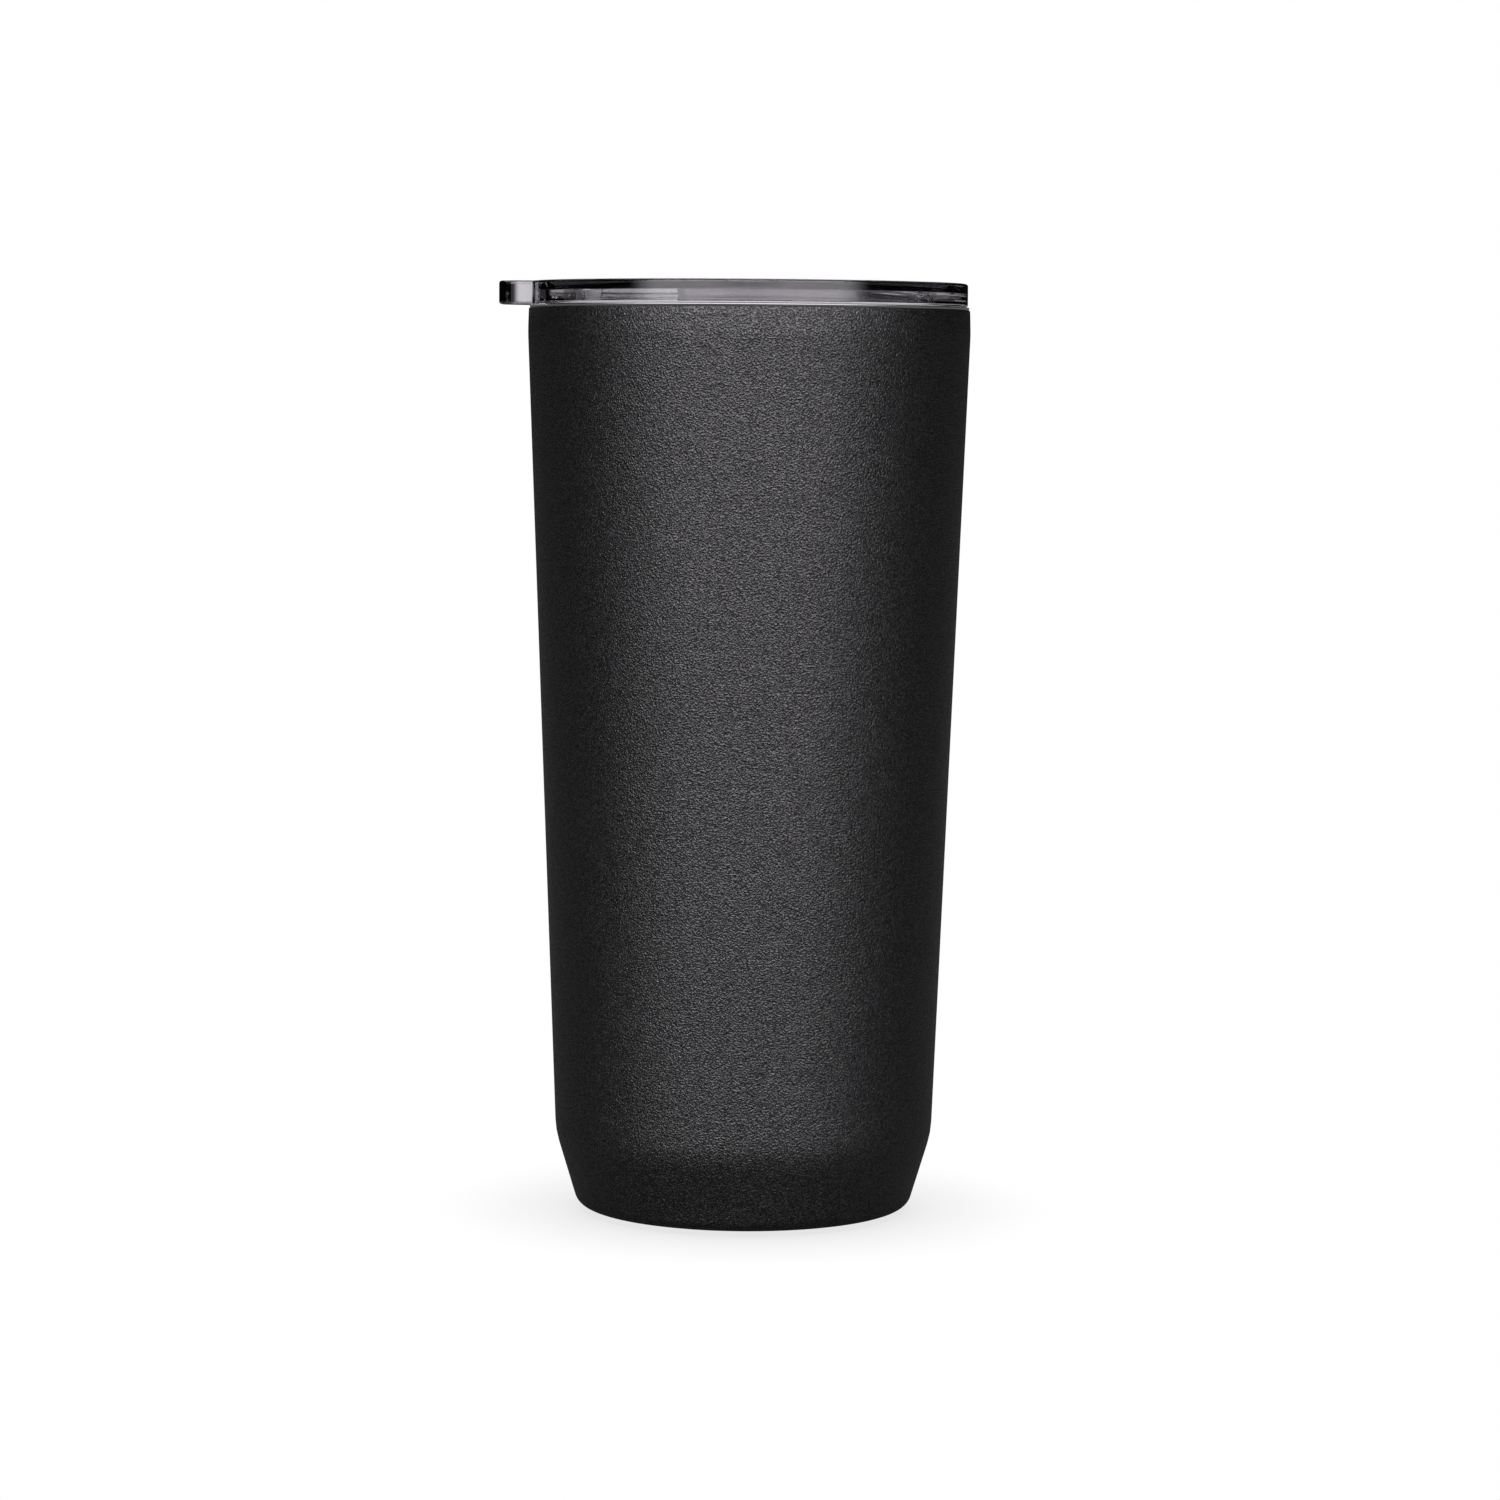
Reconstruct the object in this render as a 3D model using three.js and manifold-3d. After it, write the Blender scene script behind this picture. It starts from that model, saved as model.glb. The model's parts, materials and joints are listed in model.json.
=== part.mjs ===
// Vacuum-insulated steel tumbler with a clear push-in lid and a three-position slider.
// Millimetres, +Z up. The origin is the centre of the face the tumbler stands on. The lid's
// lifting tab points along -X, and the drinking opening lies on the +X side.
import * as THREE from "three";
import { mergeVertices } from "three/addons/utils/BufferGeometryUtils.js";
import Module from "manifold-3d";

const wasm = await Module();
wasm.setup();

// ---------------------------------------------------------------- driving dimensions

const TURN_SEGMENTS = 60; // facets round every large turned piece
const SMALL_TURN_SEGMENTS = 24; // facets round the small turned pieces
const ARC_STEP = THREE.MathUtils.degToRad(30); // longest turn that one facet of a fillet makes
const SEAT_GAP = 0.05; // between faces that rest on each other

// Steel body
const SHEET = 0.5; // wall of the outer shell, the base plate and the inner cup
const FOOT_PROUD = 0.5; // how far the silicone foot stands out below the steel
const BASE_Z = FOOT_PROUD;
const BASE_R = 31.75; // where the bottom bevel meets the base plane
const BASE_CORNER_R = 2.8;
const BEVEL_TOP_R = 36.1;
const BEVEL_TOP_Z = 14.8;
const BEVEL_BLEND_R = 16.7;
const SHOULDER_R = 42; // widest ring of the body
const SHOULDER_Z = 167.5;
const SHOULDER_BLEND_R = 30;
const COAT_TOP_R = 41.85; // top edge of the coated shell
const COAT_TOP_Z = 172;
const BASE_RING_INNER_R = 26.9; // turned-in ring round the foot

// Inner cup and its bare lip
const LIP_Z = COAT_TOP_Z + SEAT_GAP + SHEET;
const LIP_R = 41.7;
const LIP_CURL_R = 1.9;
const MOUTH_R = 39.2; // straight band that the lid's gasket grips
const MOUTH_BAND_Z = 157;
const CUP_FLOOR_Z = 11;
const CUP_FLOOR_R = 32.2;
const CUP_FLOOR_CORNER_R = 12;

// Lid
const FLANGE_Z = LIP_Z + SEAT_GAP;
const FLANGE_HEIGHT = 4.4;
const FLANGE_TOP_Z = FLANGE_Z + FLANGE_HEIGHT;
const FLANGE_R = 41.4;
const EDGE_R = 0.5; // rounding of the flange's edges
const TAB_REACH = 47.4; // tip of the lifting tab, from the axis
const TAB_HALF_WIDTH = 9;
const TAB_CORNER_R = 6.4;
const TAB_ROOT_R = 0.6; // concave blend from the flange into the tab
const DECK_Z = 171.9; // top face of the sunken deck
const DECK_THICKNESS = 1.8;
const RECESS_FLOOR_R = 35.7;
const RECESS_STEP_R = 36.3;
const RECESS_STEP_Z = FLANGE_TOP_Z - 1.8;
const RIM_FLAT_R = 38.2; // inner edge of the flat rim
const PLUG_R = 38.7;
const PLUG_BOTTOM_Z = 160;
const PLUG_INNER_R = 35.6;
const GROOVE_R = 37.2;
const GROOVE_TOP_Z = 168.5;
const GROOVE_BOTTOM_Z = 164.5;

// Drinking opening: a slot bent round the axis
const OPENING_MID_R = 27.1;
const OPENING_HALF_WIDTH = 4.5;
const OPENING_HALF_ANGLE = THREE.MathUtils.degToRad(9);
const VENT_X = -32.3;
const VENT_R = 0.9;

// Slider and its rails
const SLIDER_REAR_X = -13.4;
const SLIDER_FRONT_R = 34.9; // front end follows the recess
const WING_HALF_WIDTH = 13.2;
const WING_THICKNESS = 1.5;
const SPINE_HALF_WIDTH = 11.7;
const SPINE_THICKNESS = 2.3;
const HANDLE_FRONT_X = 19.2;
const HANDLE_HALF_WIDTH = 9.5;
const SLIDER_Z = DECK_Z + 0.1;
const HANDLE_TOP_Z = FLANGE_TOP_Z - 0.2;
const RAIL_HALF_LENGTH = 30;
const RUNNING_GAP = 0.3;
const RAIL_LIP_OVERHANG = 1.3;
const RAIL_WALL = 2.1;
const SEAL_MARGIN = 2.2; // how far the slider's seal reaches past the opening
const SEAL_THICKNESS = 1.05;

// Base: plate, foot and what the vacuum needs
const PLATE_Z = 3;
const PLATE_DIMPLE_RISE = 1.2;
const PLATE_HOLE_R = 0.8;
const FOOT_R = 26;
const GETTER_X = 14;
const GETTER_R = 4;
const GETTER_THICKNESS = 1.6;
const FOIL_THICKNESS = 0.2;
const FOIL_GAP = 0.15;
const FOIL_BOTTOM_Z = 24;
const FOIL_TOP_Z = 150;

// ---------------------------------------------------------------- outlines

const vector = ([x, y]) => new THREE.Vector2(x, y);

// The points of a path given as [x, y, filletRadius] corners, with each fillet as an arc.
function filleted(corners) {
  return corners.flatMap((corner, i) => {
    const radius = corner[2] ?? 0;
    const here = vector(corner);
    if (!radius) return [here];
    const back = vector(corners.at(i - 1)).sub(here).normalize();
    const ahead = vector(corners[(i + 1) % corners.length]).sub(here).normalize();
    const half = back.angleTo(ahead) / 2;
    const centre = back.clone().add(ahead).setLength(radius / Math.sin(half)).add(here);
    const start = back.multiplyScalar(radius / Math.tan(half)).add(here).sub(centre);
    const end = ahead.multiplyScalar(radius / Math.tan(half)).add(here).sub(centre);
    const turn = Math.atan2(start.cross(end), start.dot(end));
    const steps = Math.max(1, Math.ceil(Math.abs(turn) / ARC_STEP));
    return Array.from({ length: steps + 1 }, (_, k) =>
      start.clone().rotateAround(new THREE.Vector2(), (turn * k) / steps).add(centre),
    );
  });
}

// The same path moved sideways to its left, with its fillets kept concentric.
function movedLeft(corners, distance) {
  const runs = corners.slice(1).map((corner, i) => {
    const from = vector(corners[i]);
    const along = vector(corner).sub(from).normalize();
    const side = new THREE.Vector2(-along.y, along.x).multiplyScalar(distance);
    return { start: from.add(side), along, side };
  });
  return corners.map((corner, i) => {
    const before = runs[i - 1];
    const after = runs[i];
    if (!before) return after.start.toArray();
    if (!after) return vector(corner).add(before.side).toArray();
    const turn = before.along.cross(after.along);
    const reach = after.start.clone().sub(before.start).cross(after.along) / turn;
    const point = before.along.clone().multiplyScalar(reach).add(before.start);
    const radius = corner[2] ?? 0;
    return [point.x, point.y, radius && radius - Math.sign(turn) * distance];
  });
}

// The closed outline of a sheet that follows a path, with its thickness on the path's left.
function sheet(corners, thickness) {
  const leftFace = filleted(movedLeft(corners, thickness)).reverse();
  return [...filleted(corners), ...leftFace];
}

// A slot of the given half width, bent round the axis.
function bentSlot(midR, halfWidth, halfAngle) {
  const end = (angle) => [midR * Math.cos(angle), midR * Math.sin(angle)];
  return new THREE.Shape()
    .absarc(0, 0, midR + halfWidth, -halfAngle, halfAngle)
    .absarc(...end(halfAngle), halfWidth, halfAngle, halfAngle + Math.PI)
    .absarc(0, 0, midR - halfWidth, halfAngle, -halfAngle, true)
    .absarc(...end(-halfAngle), halfWidth, Math.PI - halfAngle, 2 * Math.PI - halfAngle);
}

// ---------------------------------------------------------------- solids

// A solid turned round the Z axis from a closed [r, z] outline.
function turned(outline, segments = TURN_SEGMENTS) {
  const onAxis = outline[0].x === 0 && outline.at(-1).x === 0;
  const profile = onAxis ? outline : [...outline, outline[0]];
  return new THREE.LatheGeometry(profile, segments).rotateX(Math.PI / 2);
}

// A plan outline raised between two heights.
function raised(shape, bottomZ, topZ, curveSegments = 6) {
  const depth = topZ - bottomZ;
  return new THREE.ExtrudeGeometry(shape, { depth, curveSegments, bevelEnabled: false }).translate(
    0,
    0,
    bottomZ,
  );
}

const plan = (corners) => new THREE.Shape(filleted(corners));

function toSolid(geometry) {
  const bare = new THREE.BufferGeometry();
  bare.setAttribute("position", geometry.getAttribute("position"));
  bare.setIndex(geometry.index);
  const merged = mergeVertices(bare, 1e-4);
  const index = merged.index.array;
  const triVerts = [];
  for (let i = 0; i < index.length; i += 3) {
    const [a, b, c] = index.subarray(i, i + 3);
    if (a !== b && b !== c && c !== a) triVerts.push(a, b, c);
  }
  const vertProperties = merged.attributes.position.array;
  return new wasm.Manifold(
    new wasm.Mesh({ numProp: 3, vertProperties, triVerts: new Uint32Array(triVerts) }),
  );
}

function toGeometry(solid) {
  const { vertProperties, triVerts } = solid.getMesh();
  const geometry = new THREE.BufferGeometry();
  geometry.setAttribute("position", new THREE.BufferAttribute(vertProperties, 3));
  geometry.setIndex(new THREE.BufferAttribute(triVerts, 1));
  geometry.computeVertexNormals();
  return geometry;
}

// One solid joined from some geometries, with others cut away from it.
function built(joined, cut = []) {
  const body = joined.map(toSolid).reduce((whole, piece) => whole.add(piece));
  return toGeometry(cut.map(toSolid).reduce((whole, piece) => whole.subtract(piece), body));
}

// ---------------------------------------------------------------- steel body

function outerShell() {
  return turned(
    sheet(
      [
        [BASE_RING_INNER_R, BASE_Z],
        [BASE_R, BASE_Z, BASE_CORNER_R],
        [BEVEL_TOP_R, BEVEL_TOP_Z, BEVEL_BLEND_R],
        [SHOULDER_R, SHOULDER_Z, SHOULDER_BLEND_R],
        [COAT_TOP_R, COAT_TOP_Z],
      ],
      SHEET,
    ),
  );
}

const CUP_TAPER = (MOUTH_R - CUP_FLOOR_R) / (MOUTH_BAND_Z - CUP_FLOOR_Z);
const cupRadius = (z) => CUP_FLOOR_R + CUP_TAPER * (z - CUP_FLOOR_Z);

function innerCup() {
  const drinkFace = [
    [LIP_R, LIP_Z],
    [MOUTH_R, LIP_Z, LIP_CURL_R],
    [MOUTH_R, MOUTH_BAND_Z, SHOULDER_BLEND_R],
    [CUP_FLOOR_R, CUP_FLOOR_Z, CUP_FLOOR_CORNER_R],
    [0, CUP_FLOOR_Z],
  ];
  const outline = sheet(drinkFace, SHEET);
  // The sheet's outline starts at the lip, so it is turned round to start on the axis.
  const axisIndex = outline.findIndex((point) => point.x === 0);
  const axisFirst = [...outline.slice(axisIndex + 1), ...outline.slice(0, axisIndex + 1)];
  return turned(axisFirst);
}

function heatShield() {
  const offset = (SHEET + FOIL_GAP) * Math.hypot(1, CUP_TAPER);
  return turned(
    sheet(
      [
        [cupRadius(FOIL_BOTTOM_Z) + offset + FOIL_THICKNESS, FOIL_BOTTOM_Z],
        [cupRadius(FOIL_TOP_Z) + offset + FOIL_THICKNESS, FOIL_TOP_Z],
      ],
      FOIL_THICKNESS,
    ),
  );
}

// The plate has a dimple round its hole and a flange that is welded inside the turned-in ring.
function basePlate() {
  const dimpleTopR = 3.6;
  const dimpleFootR = 5;
  const plateEdgeR = 26.3;
  const flangeInnerR = 27.3;
  const flangeOuterR = 29.3;
  const flangeZ = BASE_Z + SHEET + 2 * SEAT_GAP;
  return turned(
    sheet(
      [
        [PLATE_HOLE_R, PLATE_Z + PLATE_DIMPLE_RISE],
        [dimpleTopR, PLATE_Z + PLATE_DIMPLE_RISE],
        [dimpleFootR, PLATE_Z],
        [plateEdgeR, PLATE_Z],
        [flangeInnerR, flangeZ],
        [flangeOuterR, flangeZ],
      ],
      SHEET,
    ),
  );
}

// The bead of sealing glass that closes the hole the air was drawn through.
function sealBead() {
  const beadR = 3.2;
  const beadSideZ = PLATE_Z + 0.8;
  const bellyR = 2;
  const bellyZ = PLATE_Z + 0.3;
  const lowestZ = PLATE_Z + 0.2;
  const roofZ = PLATE_Z + PLATE_DIMPLE_RISE - SEAT_GAP;
  const stemR = PLATE_HOLE_R - 2 * SEAT_GAP;
  return turned(
    filleted([
      [0, lowestZ],
      [bellyR, bellyZ],
      [beadR, beadSideZ],
      [beadR, roofZ],
      [stemR, roofZ],
      [stemR, roofZ + SHEET],
      [0, roofZ + SHEET],
    ]),
    SMALL_TURN_SEGMENTS,
  );
}

const PLATE_TOP_Z = PLATE_Z + SHEET + SEAT_GAP;

function getterPill() {
  return new THREE.CylinderGeometry(GETTER_R, GETTER_R, GETTER_THICKNESS, SMALL_TURN_SEGMENTS)
    .rotateX(Math.PI / 2)
    .translate(GETTER_X, 0, PLATE_TOP_Z + GETTER_THICKNESS / 2);
}

// The steel strap that is spot-welded over the getter.
function getterStrap() {
  const strapThickness = 0.25;
  const strapWidth = 4;
  const bridgeHalf = GETTER_R + 0.7;
  const bridgeRise = GETTER_THICKNESS + SEAT_GAP;
  const footReach = bridgeHalf + 4.5;
  const section = sheet(
    [
      [-footReach, 0],
      [-bridgeHalf, 0],
      [-bridgeHalf, bridgeRise],
      [bridgeHalf, bridgeRise],
      [bridgeHalf, 0],
      [footReach, 0],
    ],
    strapThickness,
  );
  return new THREE.ExtrudeGeometry(new THREE.Shape(section), {
    depth: strapWidth,
    bevelEnabled: false,
  })
    .rotateX(Math.PI / 2)
    .rotateZ(Math.PI / 2)
    .translate(GETTER_X - strapWidth / 2, 0, PLATE_TOP_Z);
}

function footPad() {
  const grooveDepth = 0.4;
  const grooveWidth = 1.2;
  const grooveRadii = [12, 20];
  const grooves = grooveRadii.flatMap((r) => [
    [r, 0],
    [r, grooveDepth],
    [r + grooveWidth, grooveDepth],
    [r + grooveWidth, 0],
  ]);
  return turned(
    filleted([
      [0, 0],
      ...grooves,
      [FOOT_R, 0, EDGE_R],
      [FOOT_R, PLATE_Z - 2 * SEAT_GAP],
      [0, PLATE_Z - 2 * SEAT_GAP],
    ]),
  );
}

// ---------------------------------------------------------------- lid

function lidTurnedBody() {
  const cornerR = 1;
  const plugTipR = PLUG_R - 0.5;
  const grooveEdgeR = PLUG_R - 0.2;
  return turned(
    filleted([
      [0, DECK_Z - DECK_THICKNESS],
      [PLUG_INNER_R, DECK_Z - DECK_THICKNESS, cornerR],
      [PLUG_INNER_R, PLUG_BOTTOM_Z],
      [plugTipR, PLUG_BOTTOM_Z],
      [grooveEdgeR, GROOVE_BOTTOM_Z],
      [GROOVE_R, GROOVE_BOTTOM_Z],
      [GROOVE_R, GROOVE_TOP_Z],
      [PLUG_R, GROOVE_TOP_Z],
      [PLUG_R, FLANGE_Z],
      [FLANGE_R, FLANGE_Z, EDGE_R],
      [FLANGE_R, FLANGE_TOP_Z, EDGE_R],
      [RIM_FLAT_R, FLANGE_TOP_Z],
      [RECESS_STEP_R, RECESS_STEP_Z],
      [RECESS_FLOOR_R, DECK_Z],
      [0, DECK_Z],
    ]),
  );
}

// The lifting tab, as deep as the flange and blended into its edge by a concave arc each side.
// The bevel gives the outline back the EDGE_R that it is drawn in by.
function liftingTab() {
  const rootX = -Math.sqrt((FLANGE_R + TAB_ROOT_R) ** 2 - (TAB_HALF_WIDTH + TAB_ROOT_R) ** 2);
  const rootY = TAB_HALF_WIDTH + TAB_ROOT_R;
  const towardsAxis = Math.atan2(rootY, rootX) + Math.PI;
  const tipX = TAB_CORNER_R - TAB_REACH;
  const tipY = TAB_HALF_WIDTH - TAB_CORNER_R;
  const outline = new THREE.Shape()
    .absarc(rootX, rootY, TAB_ROOT_R + EDGE_R, towardsAxis, 1.5 * Math.PI, true)
    .absarc(tipX, tipY, TAB_CORNER_R - EDGE_R, 0.5 * Math.PI, Math.PI)
    .absarc(tipX, -tipY, TAB_CORNER_R - EDGE_R, Math.PI, 1.5 * Math.PI)
    .absarc(rootX, -rootY, TAB_ROOT_R + EDGE_R, 0.5 * Math.PI, 2 * Math.PI - towardsAxis, true);
  return new THREE.ExtrudeGeometry(outline, {
    depth: FLANGE_HEIGHT - 2 * EDGE_R,
    curveSegments: 6,
    bevelThickness: EDGE_R,
    bevelSize: EDGE_R,
    bevelSegments: 2,
  }).translate(0, 0, FLANGE_Z + EDGE_R);
}

// The two rails the slider runs in, each with a lip over the slider's wing.
function sliderRails() {
  const headroom = 0.2;
  const lipThickness = 1;
  const rootDepth = 0.5;
  const innerY = WING_HALF_WIDTH + RUNNING_GAP;
  const lipY = innerY - RAIL_LIP_OVERHANG;
  const lipZ = SLIDER_Z + WING_THICKNESS + headroom;
  const topZ = lipZ + lipThickness;
  const rootZ = DECK_Z - rootDepth;
  const section = new THREE.Shape(
    filleted([
      [innerY, rootZ],
      [innerY + RAIL_WALL, rootZ],
      [innerY + RAIL_WALL, topZ],
      [lipY, topZ],
      [lipY, lipZ],
      [innerY, lipZ],
    ]),
  );
  return [0, Math.PI].map((turn) =>
    new THREE.ExtrudeGeometry(section, { depth: 2 * RAIL_HALF_LENGTH, bevelEnabled: false })
      .rotateX(Math.PI / 2)
      .rotateZ(Math.PI / 2)
      .translate(-RAIL_HALF_LENGTH, 0, 0)
      .rotateZ(turn),
  );
}

const openingShape = (margin = 0) =>
  bentSlot(OPENING_MID_R, OPENING_HALF_WIDTH + margin, OPENING_HALF_ANGLE);

function lidBody() {
  const belowDeckZ = DECK_Z - DECK_THICKNESS - 1;
  const vent = new THREE.CylinderGeometry(VENT_R, VENT_R, 6, 12)
    .rotateX(Math.PI / 2)
    .translate(VENT_X, 0, DECK_Z);
  return built(
    [lidTurnedBody(), liftingTab(), ...sliderRails()],
    [raised(openingShape(), belowDeckZ, DECK_Z + 1), vent],
  );
}

// A silicone ring with two wiping fins.
function lidGasket() {
  const innerR = GROOVE_R + 2 * SEAT_GAP;
  const coreR = PLUG_R - 2 * SEAT_GAP;
  const finR = MOUTH_R - SEAT_GAP;
  const bottomZ = GROOVE_BOTTOM_Z + SEAT_GAP;
  const topZ = GROOVE_TOP_Z - SEAT_GAP;
  // Each fin leans down towards the plug's tip and is thinner at its edge than at its root.
  const fin = (z) => [
    [coreR, z],
    [finR, z + 0.5],
    [finR, z + 0.8],
    [coreR, z + 0.9],
  ];
  return turned(
    filleted([
      [innerR, bottomZ],
      [coreR, bottomZ],
      ...fin(bottomZ + 0.5),
      ...fin(bottomZ + 2.3),
      [coreR, topZ],
      [innerR, topZ],
    ]),
  );
}

// A slider plate of the given half width, whose front follows the recess.
function sliderPlate(halfWidth, frontR, rearX) {
  const rearCornerR = 3;
  const frontChamfer = 1;
  const frontAngle = Math.asin((halfWidth - frontChamfer) / frontR);
  const chamferX = frontR * Math.cos(frontAngle) - frontChamfer;
  const rearArcX = rearX + rearCornerR;
  const rearArcY = halfWidth - rearCornerR;
  const shape = new THREE.Shape();
  shape.absarc(rearArcX, -rearArcY, rearCornerR, Math.PI, 1.5 * Math.PI);
  shape.lineTo(chamferX, -halfWidth);
  shape.absarc(0, 0, frontR, -frontAngle, frontAngle);
  shape.lineTo(chamferX, halfWidth);
  shape.absarc(rearArcX, rearArcY, rearCornerR, Math.PI / 2, Math.PI);
  return shape;
}

function slider() {
  const handleCornerR = 2.5;
  const handle = plan([
    [SLIDER_REAR_X, -HANDLE_HALF_WIDTH, handleCornerR],
    [HANDLE_FRONT_X, -HANDLE_HALF_WIDTH, handleCornerR],
    [HANDLE_FRONT_X, HANDLE_HALF_WIDTH, handleCornerR],
    [SLIDER_REAR_X, HANDLE_HALF_WIDTH, handleCornerR],
  ]);
  const wings = sliderPlate(WING_HALF_WIDTH, SLIDER_FRONT_R, SLIDER_REAR_X);
  const spine = sliderPlate(SPINE_HALF_WIDTH, SLIDER_FRONT_R - 0.4, SLIDER_REAR_X + 0.4);
  const middleX = (SLIDER_REAR_X + HANDLE_FRONT_X) / 2;
  const scoopR = 50;
  const scoopDepth = 1.5;
  const thumbScoop = new THREE.CylinderGeometry(scoopR, scoopR, 13, 160).translate(
    middleX,
    0,
    HANDLE_TOP_Z + scoopR - scoopDepth,
  );
  const gripRibs = [-6, -3, 0, 3, 6].map((x) =>
    new THREE.BoxGeometry(1, 13.5, 2).translate(middleX + x, 0, HANDLE_TOP_Z - 0.7 - 1),
  );
  const body = built(
    [
      raised(wings, SLIDER_Z, SLIDER_Z + WING_THICKNESS),
      raised(spine, SLIDER_Z, SLIDER_Z + SPINE_THICKNESS),
      raised(handle, SLIDER_Z, HANDLE_TOP_Z),
    ],
    [
      thumbScoop,
      raised(openingShape(SEAL_MARGIN + SEAT_GAP), SLIDER_Z - 1, DECK_Z + SEAL_THICKNESS + 0.1),
    ],
  );
  return built([body, ...gripRibs]);
}

function sliderSeal() {
  const plateZ = DECK_Z + SEAT_GAP;
  return raised(openingShape(SEAL_MARGIN), plateZ, plateZ + SEAL_THICKNESS - SEAT_GAP);
}

// ---------------------------------------------------------------- materials and assembly

const finish = (color, roughness, metalness, extra = {}) =>
  new THREE.MeshStandardMaterial({ color, roughness, metalness, ...extra });

const powderCoat = finish(0x2b292b, 0.62, 0.1);
const brushedSteel = finish(0xb9babc, 0.32, 1);
const plainSteel = finish(0x9a9b9d, 0.45, 1);
const copper = finish(0xb87353, 0.3, 1);
const sealingGlass = finish(0x6b7a6a, 0.2, 0);
const getterAlloy = finish(0x55565a, 0.8, 0.6);
const blackSilicone = finish(0x1b1b1d, 0.75, 0);
const smokeSilicone = finish(0x3a3a3d, 0.6, 0);
const clearSmoke = finish(0xa9a6a8, 0.06, 0, { transparent: true, opacity: 0.4 });

const pieces = [
  ["outer_shell", outerShell(), powderCoat],
  ["inner_cup", innerCup(), brushedSteel],
  ["heat_shield_foil", heatShield(), copper],
  ["base_plate", basePlate(), plainSteel],
  ["vacuum_seal_bead", sealBead(), sealingGlass],
  ["getter_pill", getterPill(), getterAlloy],
  ["getter_strap", getterStrap(), plainSteel],
  ["foot_pad", footPad(), blackSilicone],
  ["lid_body", lidBody(), clearSmoke],
  ["lid_gasket", lidGasket(), smokeSilicone],
  ["slider", slider(), clearSmoke],
  ["slider_seal", sliderSeal(), smokeSilicone],
];

const tumbler = new THREE.Group();
for (const [name, geometry, material] of pieces) {
  const mesh = new THREE.Mesh(geometry, material);
  mesh.name = name;
  tumbler.add(mesh);
}

export default tumbler;
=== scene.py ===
"""A vacuum-insulated tumbler with a clear push-in lid: its fine surfaces, materials, studio and camera.

Outlines are in millimetres in the frame of the CAD part. Each is a list of (r, z) corners, or of
(r, z, radius) where the corner is rounded. Meshes are made in metres.
"""

import cmath
import json
import math

import bmesh
import bpy
from mathutils import Matrix, Vector, noise


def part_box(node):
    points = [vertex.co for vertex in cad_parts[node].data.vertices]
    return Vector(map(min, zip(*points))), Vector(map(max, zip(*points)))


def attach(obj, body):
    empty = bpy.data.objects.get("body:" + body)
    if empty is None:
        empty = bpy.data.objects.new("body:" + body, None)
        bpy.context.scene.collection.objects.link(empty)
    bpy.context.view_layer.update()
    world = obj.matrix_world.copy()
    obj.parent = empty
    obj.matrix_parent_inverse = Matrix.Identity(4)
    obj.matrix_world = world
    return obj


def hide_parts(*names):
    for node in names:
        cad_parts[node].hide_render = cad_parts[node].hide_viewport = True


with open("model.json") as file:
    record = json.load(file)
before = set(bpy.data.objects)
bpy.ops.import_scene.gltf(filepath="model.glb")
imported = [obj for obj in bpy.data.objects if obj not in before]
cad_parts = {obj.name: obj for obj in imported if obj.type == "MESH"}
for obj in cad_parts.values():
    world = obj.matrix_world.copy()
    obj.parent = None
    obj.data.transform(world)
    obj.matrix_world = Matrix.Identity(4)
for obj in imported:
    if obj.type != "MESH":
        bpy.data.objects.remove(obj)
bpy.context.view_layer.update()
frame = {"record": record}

MM = 0.001
RIGHT_ANGLE = math.pi / 2

# ---------------------------------------------------------------- sizes from the frame


def box_mm(node):
    """A CAD node's lowest and highest corners in millimetres."""
    low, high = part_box(node)
    return low / MM, high / MM


SHELL_LOW, SHELL_HIGH = box_mm("outer_shell")
CUP_HIGH = box_mm("inner_cup")[1]
LID_LOW, LID_HIGH = box_mm("lid_body")
GASKET_LOW, GASKET_HIGH = box_mm("lid_gasket")
SLIDER_LOW, SLIDER_HIGH = box_mm("slider")
SEAL_LOW, SEAL_HIGH = box_mm("slider_seal")
FOIL_LOW, FOIL_HIGH = box_mm("heat_shield_foil")
PLATE_HIGH = box_mm("base_plate")[1]
BEAD_LOW, BEAD_HIGH = box_mm("vacuum_seal_bead")
GETTER_LOW, GETTER_HIGH = box_mm("getter_pill")
STRAP_LOW, STRAP_HIGH = box_mm("getter_strap")
FOOT_HIGH = box_mm("foot_pad")[1]

CONTACT_GAP = 0.05  # between pieces that touch on the real tumbler
SHEET = 0.5  # wall of the steel pieces
BASE_Z = SHELL_LOW.z
BASE_HOLE_R = 26.9
BASE_R = 31.75
BEVEL_TOP_R = 36.1
BEVEL_HEIGHT = 14.3
SHOULDER_R = 41.98
SHOULDER_HEIGHT = 167
COAT_TOP_Z = SHELL_HIGH.z
COAT_TOP_R = 41.72
LIP_Z = CUP_HIGH.z
LIP_R = CUP_HIGH.x
MOUTH_R = 39.2
MOUTH_BOTTOM_Z = 157
CUP_FLOOR_Z = 11
CUP_FLOOR_R = 32.2
FLANGE_Z = LIP_Z + CONTACT_GAP
FLANGE_TOP_Z = LID_HIGH.z
FLANGE_R = LID_HIGH.x
TAB_REACH = -LID_LOW.x
TAB_HALF_WIDTH = 9
TAB_CORNER_R = 6.4
TAB_ROOT_R = 0.6
DECK_Z = SEAL_LOW.z - CONTACT_GAP
DECK_BOTTOM_Z = DECK_Z - 1.8
RAIL_HALF_LENGTH = 30
OPENING_MID_R = 27.1
OPENING_HALF_WIDTH = 4.5
OPENING_HALF_ANGLE = math.radians(9)
SEAL_MARGIN = 2.2
VENT_X = -32.3
VENT_R = 0.9

# ---------------------------------------------------------------- outlines

ARC_STEP = math.radians(9)  # longest turn between two points of a fillet


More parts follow.
